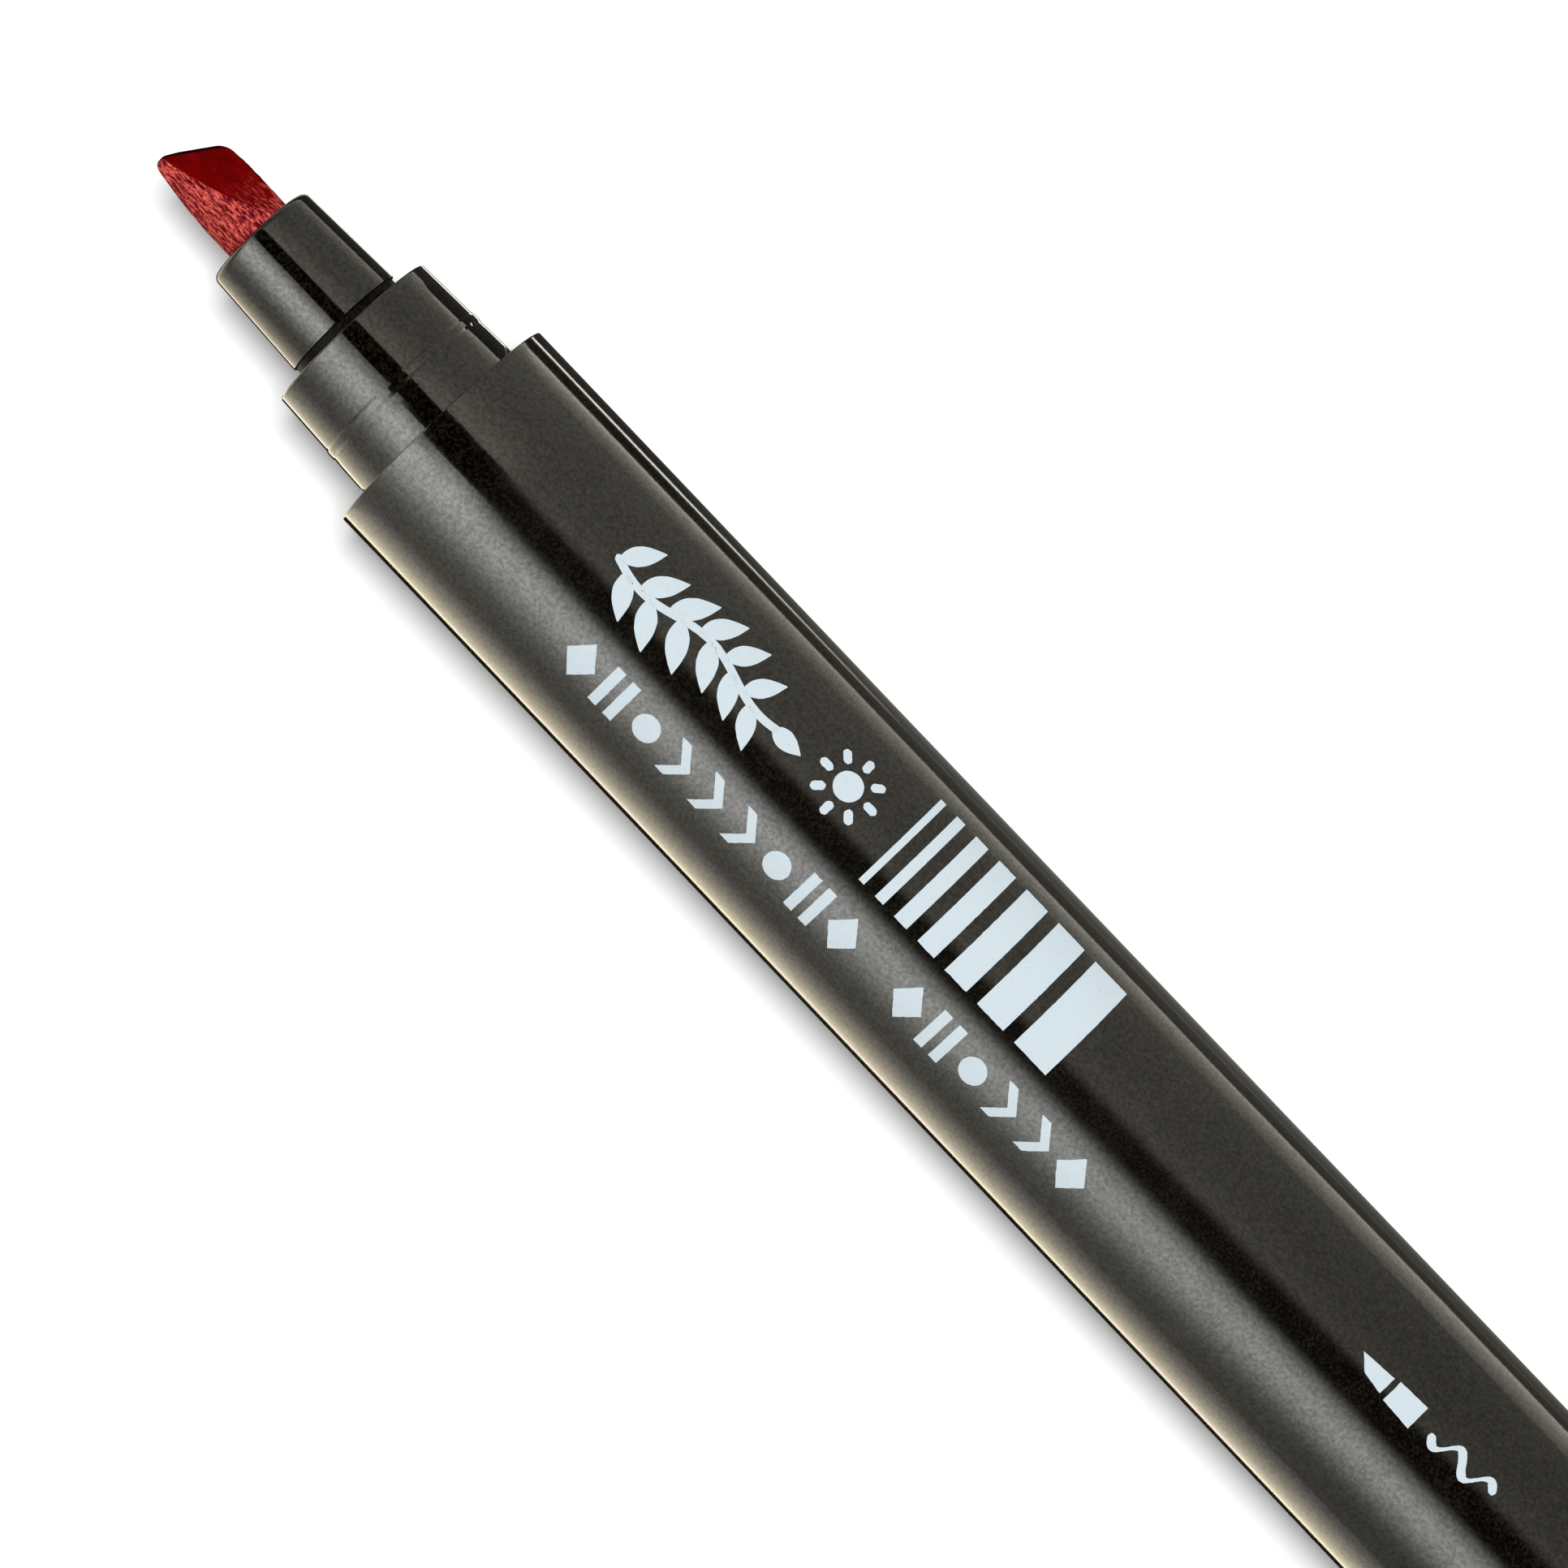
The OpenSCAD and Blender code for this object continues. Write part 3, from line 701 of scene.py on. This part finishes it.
class Print:
    """Collects patches of ink, each a grid of (x, arc) points, wrapped on the barrel."""

    def __init__(self):
        self.verts, self.faces = [], []

    def patch(self, grid, rag=0.03):
        """Adds one patch, its border roughened a little."""
        grid = np.array(grid, float)
        rows, cols = grid.shape[:2]
        middle = grid.mean((0, 1))
        for i in range(rows):
            for j in range(cols):
                if i in (0, rows - 1) or j in (0, cols - 1):
                    p = grid[i, j]
                    off = noise.noise(Vector((p[0] * 4.5, p[1] * 4.5, 2.0))) + 0.6 * noise.noise(
                        Vector((p[0] * 11, p[1] * 11, 9.0)))
                    d = p - middle
                    grid[i, j] = p + d / max(np.linalg.norm(d), 1e-6) * off * rag
        base = len(self.verts)
        for up in (INK_UP, INK_DOWN):
            for i in range(rows):
                for j in range(cols):
                    self.verts.append(on_barrel(grid[i, j][0], grid[i, j][1], up))
        low = base + rows * cols

        def top(i, j):
            return base + i * cols + j

        for i in range(rows - 1):
            for j in range(cols - 1):
                q = [top(i, j), top(i + 1, j), top(i + 1, j + 1), top(i, j + 1)]
                self.faces.append(tuple(q))
                self.faces.append(tuple(v - base + low for v in reversed(q)))
        rim = ([(0, j) for j in range(cols)] + [(i, cols - 1) for i in range(1, rows)]
               + [(rows - 1, j) for j in range(cols - 2, -1, -1)] + [(i, 0) for i in range(rows - 2, 0, -1)])
        for a, b in zip(rim, rim[1:] + rim[:1]):
            self.faces.append((top(*a), top(*b), top(*b) - base + low, top(*a) - base + low))

    def quad(self, corners):
        """A four-cornered patch."""
        a, b, c, d = [np.array(p, float) for p in corners]
        n = max(2, int(np.linalg.norm(b - a) / INK_GRID) + 2)
        m = max(2, int(np.linalg.norm(d - a) / INK_GRID) + 2)
        grid = []
        for i in range(n):
            s = i / (n - 1)
            p, q = a + (b - a) * s, d + (c - d) * s
            grid.append([p + (q - p) * j / (m - 1) for j in range(m)])
        self.patch(grid)

    def stroke(self, path, width, across=5, pen=None):
        """A drawn line. With a pen angle its width changes with its direction, as a chisel nib's does."""
        path = np.array(path, float)
        ahead = np.gradient(path, axis=0)
        ahead /= np.linalg.norm(ahead, axis=1)[:, None]
        side = np.stack([-ahead[:, 1], ahead[:, 0]], 1)
        length = np.concatenate([[0], np.cumsum(np.linalg.norm(np.diff(path, axis=0), axis=1))])
        grid = []
        for p, n, d, s in zip(path, side, ahead, length):
            w = width
            if pen is not None:
                angle = math.atan2(d[1], d[0]) - pen
                w = width * (0.30 + 0.70 * abs(math.sin(angle)))
            end = min(s, length[-1] - s)
            if end < STROKE_END * w:
                w *= math.sqrt(max(1 - (1 - end / (STROKE_END * w)) ** 2, 0.04))
            grid.append([p + n * w * (j / (across - 1) - 0.5) for j in range(across)])
        self.patch(grid)

    def disc(self, x, arc, radius):
        """A dot."""
        n, grid = 9, []
        for i in range(n):
            row = []
            for j in range(n):
                u, v = 2 * i / (n - 1) - 1, 2 * j / (n - 1) - 1
                row.append((x + radius * u * math.sqrt(1 - v * v / 2),
                            arc + radius * v * math.sqrt(1 - u * u / 2)))
            grid.append(row)
        self.patch(grid, 0.02)

    def leaf(self, x, arc, angle, length, width):
        """A pointed leaf that grows from (x, arc)."""
        c, sn, grid = math.cos(angle), math.sin(angle), []
        for i in range(13):
            t = i / 12
            half = max(width / 2 * math.sin(math.pi * t ** 0.8) ** 0.9, 0.03) if 0 < i < 12 else 0.03
            grid.append([(x - length * t * c - q * half * sn, arc + length * t * sn - q * half * c)
                         for q in (-1, -0.5, 0, 0.5, 1)])
        self.patch(grid, 0.02)


ink = Print()
# a trailing sprig of leaves
STEM_X, STEM_ARC, STEM_L = -13.0, -2.3, 14.0


def stem(t):
    return STEM_X - STEM_L * t, STEM_ARC + 0.5 * math.sin(2 * math.pi * 1.4 * t)


ink.stroke([stem(k / 120) for k in range(121)], 0.5)
for k in range(6):
    for side, late in ((-1, 0.0), (1, 0.06)):
        x, arc = stem(0.02 + 0.15 * k + late)
        size = 1 - 0.05 * abs(k - 2)
        ink.leaf(x, arc, side * math.radians(54), 3.3 * size, 1.4 * size)
ink.leaf(*stem(0.97), 0.0, 2.3, 1.2)
# a plain sun
SUN_X, SUN_ARC = -32.1, -2.75
ink.disc(SUN_X, SUN_ARC, 0.95)
for k in range(8):
    c, sn = math.cos(math.pi * k / 4), math.sin(math.pi * k / 4)
    ink.stroke([(SUN_X + r * c, SUN_ARC + r * sn) for r in np.linspace(1.35, 2.3, 9)], 0.55)
# line widths, from thin to broad
WIDTHS_X, WIDTHS_LO, WIDTHS_HI, WIDTHS_GAP = -36.4, -6.95, 0.6, 0.92
x = WIDTHS_X
for w in (0.45, 0.7, 1.05, 1.4, 1.8, 2.2, 2.65):
    ink.quad([(x, WIDTHS_LO), (x - w, WIDTHS_LO), (x - w, WIDTHS_HI), (x, WIDTHS_HI)])
    x -= w + WIDTHS_GAP

ROW_X, ROW_PITCH = -16.0, 2.76
ROW_LO, ROW_HI = 2.2, 5.05
ROW_MID = (ROW_LO + ROW_HI) / 2


def bars(x):
    for middle in (x - 0.62, x + 0.62):
        front, back = middle + 0.34, middle - 0.34
        ink.quad([(front, ROW_LO), (back, ROW_LO), (back, ROW_HI), (front, ROW_HI)])


def chevron(x):
    w, deep, lo, hi = 0.75, 0.55, ROW_LO + 0.1, ROW_HI - 0.1
    x += w / 2
    ink.quad([(x + deep, lo), (x + deep - w, lo), (x - deep - w, ROW_MID), (x - deep, ROW_MID)])
    ink.quad([(x - deep, ROW_MID), (x - deep - w, ROW_MID), (x + deep - w, hi), (x + deep, hi)])


def diamond(x):
    ink.quad([(x, ROW_MID - 1.4), (x - 1.15, ROW_MID), (x, ROW_MID + 1.4), (x + 1.15, ROW_MID)])


def dot(x):
    ink.disc(x, ROW_MID, 0.9)


# a band of plain marks in two groups
for i, mark in enumerate([diamond, bars, dot, chevron, chevron, chevron, dot, bars, diamond, None,
                          diamond, bars, dot, chevron, chevron, diamond]):
    if mark:
        mark(ROW_X - ROW_PITCH * i)

# a small picture of a chisel nib and the line it draws
NIB_ARC = -1.35
ink.quad([(-76.6, NIB_ARC - 0.42), (-79.0, NIB_ARC - 0.62), (-79.0, NIB_ARC + 0.62), (-77.5, NIB_ARC + 0.42)])
ink.quad([(-79.4, NIB_ARC - 0.75), (-81.6, NIB_ARC - 0.85), (-81.6, NIB_ARC + 0.85), (-79.4, NIB_ARC + 0.75)])
ink.stroke([(-82.8 - 5.0 * k / 60, NIB_ARC + 0.55 * math.sin(k / 60 * 4 * math.pi)) for k in range(61)],
           0.55, across=4, pen=math.radians(60))

# a row of dashes low on the +Y side
DASH_X, DASH_END, DASH_LO, DASH_HI, DASH_GAP = -31.6, -88, 12.3, 13.7, 0.6
DASHES = (1.7, 0.9, 2.3, 1.2, 1.7)
x, dash = DASH_X, 0
while x > DASH_END:
    w = DASHES[dash % len(DASHES)]
    ink.quad([(x, DASH_LO), (x - w, DASH_LO), (x - w, DASH_HI), (x, DASH_HI)])
    x -= w + DASH_GAP
    dash += 1


marks = make_object("barrel_print", ink.verts, ink.faces, sharp=40)
piece(marks, "marker", ink_mat)


# ---------------------------------------------------------------- floor, light and camera
def stage_material(name):
    mat = bpy.data.materials.new(name)
    mat.use_nodes = True
    mat.node_tree.nodes.clear()
    return mat, mat.node_tree


def plain_floor():
    """White and dull. The gloss of the marker reflects the cards below, not this floor."""
    half = 3000
    corners = [(-half, -half, FLOOR_Z), (half, -half, FLOOR_Z), (half, half, FLOOR_Z), (-half, half, FLOOR_Z)]
    floor = make_object("floor", corners, [(0, 1, 2, 3)], recalc=False)
    mat, tree = stage_material("floor_white")
    diffuse = tree.nodes.new("ShaderNodeBsdfDiffuse")
    diffuse.inputs["Color"].default_value = (0.8, 0.8, 0.8, 1)
    out = tree.nodes.new("ShaderNodeOutputMaterial")
    tree.links.new(diffuse.outputs[0], out.inputs[0])
    floor.data.materials.append(mat)
    floor.visible_glossy = False
    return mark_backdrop(floor)


def glow_material():
    mat, tree = stage_material("studio_panel")
    colour = tree.nodes.new("ShaderNodeAttribute")
    colour.attribute_name = "glow"
    light = tree.nodes.new("ShaderNodeEmission")
    out = tree.nodes.new("ShaderNodeOutputMaterial")
    tree.links.new(colour.outputs["Color"], light.inputs["Color"])
    tree.links.new(light.outputs[0], out.inputs[0])
    mat.cycles.emission_sampling = "NONE"
    return mat


panel_mat = glow_material()


def panel(name, sections):
    """A reflected light panel: sections of (x, [((y, z), (r, g, b)), ...]) joined in order.
    Only the gloss of the surfaces sees it."""
    verts, glow, faces = [], [], []
    cols = len(sections[0][1])
    for x, points in sections:
        for (y, z), colour in points:
            verts.append((x, y, z))
            glow.append((*colour, 1))
    for i in range(len(sections) - 1):
        for j in range(cols - 1):
            faces.append((i * cols + j, (i + 1) * cols + j, (i + 1) * cols + j + 1, i * cols + j + 1))
    obj = make_object(name, verts, faces, colours={"glow": glow}, recalc=False)
    obj.data.materials.append(panel_mat)
    obj.visible_camera = obj.visible_diffuse = obj.visible_shadow = False
    obj.visible_transmission = obj.visible_volume_scatter = False
    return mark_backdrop(obj)


TENT_R, TENT_END = 100.0, 112.0    # its radius, and how far down its sides hang, in degrees
RIM_BEFORE, RIM_AFTER = 22, 4    # how fast the light beside the slot fades
COOL = (0.985, 1.0, 0.955)
NEUTRAL = (1.0, 0.97, 0.83)
WARM = (1.0, 0.90, 0.68)
DARK = (0.02, 0.012, 0.004)
STEP = 0.05    # width of a hard edge on a card


def between(a, b, t):
    """A colour from a, at t = 0, to b, at t = 1."""
    t = min(max(t, 0.0), 1.0)
    return tuple(p + (q - p) * t for p, q in zip(a, b))


def tint(colour, level):
    return tuple(c * level for c in colour)


def hump(angle, centre, before, after):
    """1 at the centre, fading over so many degrees before it and after it."""
    return math.exp(-((angle - centre) / (before if angle < centre else after)) ** 2)


class Tent:
    """The light of the tent, by angle in degrees from straight up, positive towards +Y: white cloth,
    a soft box behind it on the +Y side, a rim of light on the -Y side of the slot, and the dark slot
    that the camera looks through. A soft slot has no sharp edges, and some light spills into it."""

    def __init__(self, slot, cloth, rim, box, box_at, fades, soft=0.0, spill=0.0):
        self.slot, self.cloth, self.rim = slot, cloth, rim
        self.box, self.box_at, self.fades = box, box_at, fades
        self.soft, self.spill = soft, spill

    def opening(self, angle):
        """0 in the slot, 1 outside it."""
        low, high = self.slot
        outside = max(low - angle, angle - high)
        if not self.soft:
            return float(outside >= 0)
        t = min(max((outside + self.soft) / (2 * self.soft), 0), 1)
        return self.spill + (1 - self.spill) * t * t * (3 - 2 * t)

    def colour(self, angle, gain):
        level = self.cloth + self.rim * hump(angle, self.slot[0], RIM_BEFORE, RIM_AFTER)
        level += self.box * hump(angle, self.box_at, *self.fades)
        warmth = (angle - 45) / 40 if angle > 0 else 1
        lit = tint(between(COOL, NEUTRAL, warmth), level * gain)
        return between(DARK, lit, self.opening(angle))

    def section(self, x, gain=1.0):
        """The half tube's edge at x, for panel()."""
        low, high = self.slot
        angles = [*np.linspace(-TENT_END, low, 45), *np.linspace(low + 0.3, high - 0.3, 9),
                  *np.linspace(high, TENT_END, 45)]
        return x, [((TENT_R * math.sin(math.radians(a)), TENT_R * math.cos(math.radians(a))),
                    self.colour(a, gain)) for a in angles]


NOSE_LIGHT = dict(cloth=0.95, rim=0.9, box=6.5, box_at=34, fades=(17, 25))
holder_light = Tent((-13.4, 9.7), **NOSE_LIGHT)
collar_light = Tent((-12.4, 14.4), **NOSE_LIGHT)
rim_light = Tent((-12.6, 23.0), **NOSE_LIGHT)
front_light = Tent((-12.6, 15.5), **NOSE_LIGHT)
near_light = Tent((-10, 17.5), 0.92, 0.25, 5.5, 37, (15, 24), soft=6, spill=0.08)
far_light = Tent((-11, 16.5), 0.84, 0.25, 4.6, 38, (18, 24), soft=7, spill=0.10)
end_light = Tent((-14, 14.5), 0.66, 0.20, 4.8, 35, (15, 20), soft=5, spill=0.05)
panel("tent", [
    holder_light.section(320, 0.4), holder_light.section(150, 0.45), holder_light.section(50, 0.92),
    holder_light.section(16.5, 0.92), collar_light.section(16.0), collar_light.section(6.5),
    rim_light.section(6.45), rim_light.section(5.45), front_light.section(5.4), front_light.section(0.1),
    near_light.section(-0.1), near_light.section(-28), far_light.section(-66), end_light.section(-91),
    end_light.section(-115), end_light.section(-190, 0.5), end_light.section(-320, 0.4)])

# Cards on the floor beside the marker, seen only in reflections: painted shade under it, out to the lit
# floor.
SHEET_Z = FLOOR_Z + 0.05
FLOOR_GLOW = 0.9
SPREAD = [0, 1, 2.5] + [5 * 1.5 ** k for k in range(11)]


def card(name, side, rows):
    """A card on the floor, with a row of (distance from the axis, colour) at each x."""
    return panel(name, [(x, [((side * y, SHEET_Z), c) for y, c in row]) for x, row in rows])


def plus_row(edge, gain):
    """The card at +Y: painted shade under the marker, then warm light that starts at a bright lip and fades
    over some 20 mm.
    """
    row = [(edge - 4, DARK), (edge - STEP, DARK)]
    for d in SPREAD:
        level = FLOOR_GLOW + 1.2 * max(0, 1 - d / 2.5) + 2.3 * gain / (1 + (d / 20) ** 2)
        row.append((edge + d, tint(between(WARM, NEUTRAL, (d - 12) / 12), level)))
    return row


def minus_row(radius, strip, glare, shade, lit_from, lit, reach):
    """The card at -Y: shade with one bright strip in it, then the lit floor."""
    near, far = strip
    steps = [(radius, shade), (near - STEP, shade), (near, glare), (far - STEP, glare), (far, shade),
             (lit_from - STEP, shade)]
    steps += [(lit_from + d, FLOOR_GLOW + (lit - FLOOR_GLOW) / (1 + d / reach)) for d in SPREAD]
    return [(y, tint(NEUTRAL, level)) for y, level in steps]


barrel_minus = minus_row(8.2, (16.6, 18.0), 5.0, 0.06, 29.4, 4.2, 5)
middle_minus = minus_row(8.2, (16.6, 18.0), 0.4, 0.25, 28.5, 2.6, 12)
tail_minus = minus_row(8.2, (16.6, 18.0), 0.3, 0.20, 25.0, 2.6, 12)
collar_minus = minus_row(6.0, (8.3, 9.4), 3.4, 0.08, 26.5, 2.7, 5)
holder_minus = minus_row(4.0, (5.2, 6.8), 1.9, 0.09, 21.5, 1.9, 5)
card("card_minus", -1, [(-320, tail_minus), (-80, tail_minus), (-60, middle_minus), (-32, middle_minus),
                        (-10, barrel_minus), (1.4, barrel_minus), (1.5, collar_minus), (9.0, collar_minus),
                        (9.1, holder_minus), (320, holder_minus)])
barrel_plus, collar_plus, holder_plus = plus_row(13.2, 1.0), plus_row(9.5, 0.72), plus_row(7.7, 0.62)
card("card_plus", 1, [(-320, barrel_plus), (1.2, barrel_plus), (1.3, collar_plus), (8.9, collar_plus),
                      (9.0, holder_plus), (320, holder_plus)])
plain_floor()

SUN_OFF, SUN_WIDE, SUN_POWER = math.radians(6.2), math.radians(19), 3.4
sun = bpy.data.lights.new("key", "SUN")
sun.energy, sun.angle = SUN_POWER, SUN_WIDE
key = bpy.data.objects.new("key", sun)
key.rotation_euler = (SUN_OFF, 0, 0)
key.visible_glossy = False
bpy.context.scene.collection.objects.link(key)

AMBIENT = 0.44
world = bpy.data.worlds.new("studio")
bpy.context.scene.world = world
world.use_nodes = True
tree = world.node_tree
tree.nodes.clear()
path = tree.nodes.new("ShaderNodeLightPath")
seen, ambient = tree.nodes.new("ShaderNodeBackground"), tree.nodes.new("ShaderNodeBackground")
seen.inputs["Strength"].default_value = 1.0
seen.inputs["Color"].default_value = (1, 1, 1, 1)
ambient.inputs["Color"].default_value = (1, 1, 1, 1)
ambient.inputs["Strength"].default_value = AMBIENT
pick = tree.nodes.new("ShaderNodeMixShader")
out = tree.nodes.new("ShaderNodeOutputWorld")
tree.links.new(path.outputs["Is Camera Ray"], pick.inputs[0])
tree.links.new(ambient.outputs[0], pick.inputs[1])
tree.links.new(seen.outputs[0], pick.inputs[2])
tree.links.new(pick.outputs[0], out.inputs[0])

CAMERA_BACK, CAMERA_SIDE, CAMERA_UP, CAMERA_ROLL = 29.4, 0.08, 434.0, 180 + 46.4
camera = bpy.data.cameras.new("camera")
camera.lens, camera.sensor_width = 168, 36
camera.clip_start, camera.clip_end = 0.02, 20
view = bpy.data.objects.new("camera", camera)
view.location = (-CAMERA_BACK * MM, -CAMERA_SIDE * MM, CAMERA_UP * MM)
view.rotation_euler = (0, 0, math.radians(CAMERA_ROLL))
bpy.context.scene.collection.objects.link(view)
bpy.context.scene.camera = view
bpy.context.scene.view_settings.view_transform = "Standard"

bpy.context.view_layer.update()
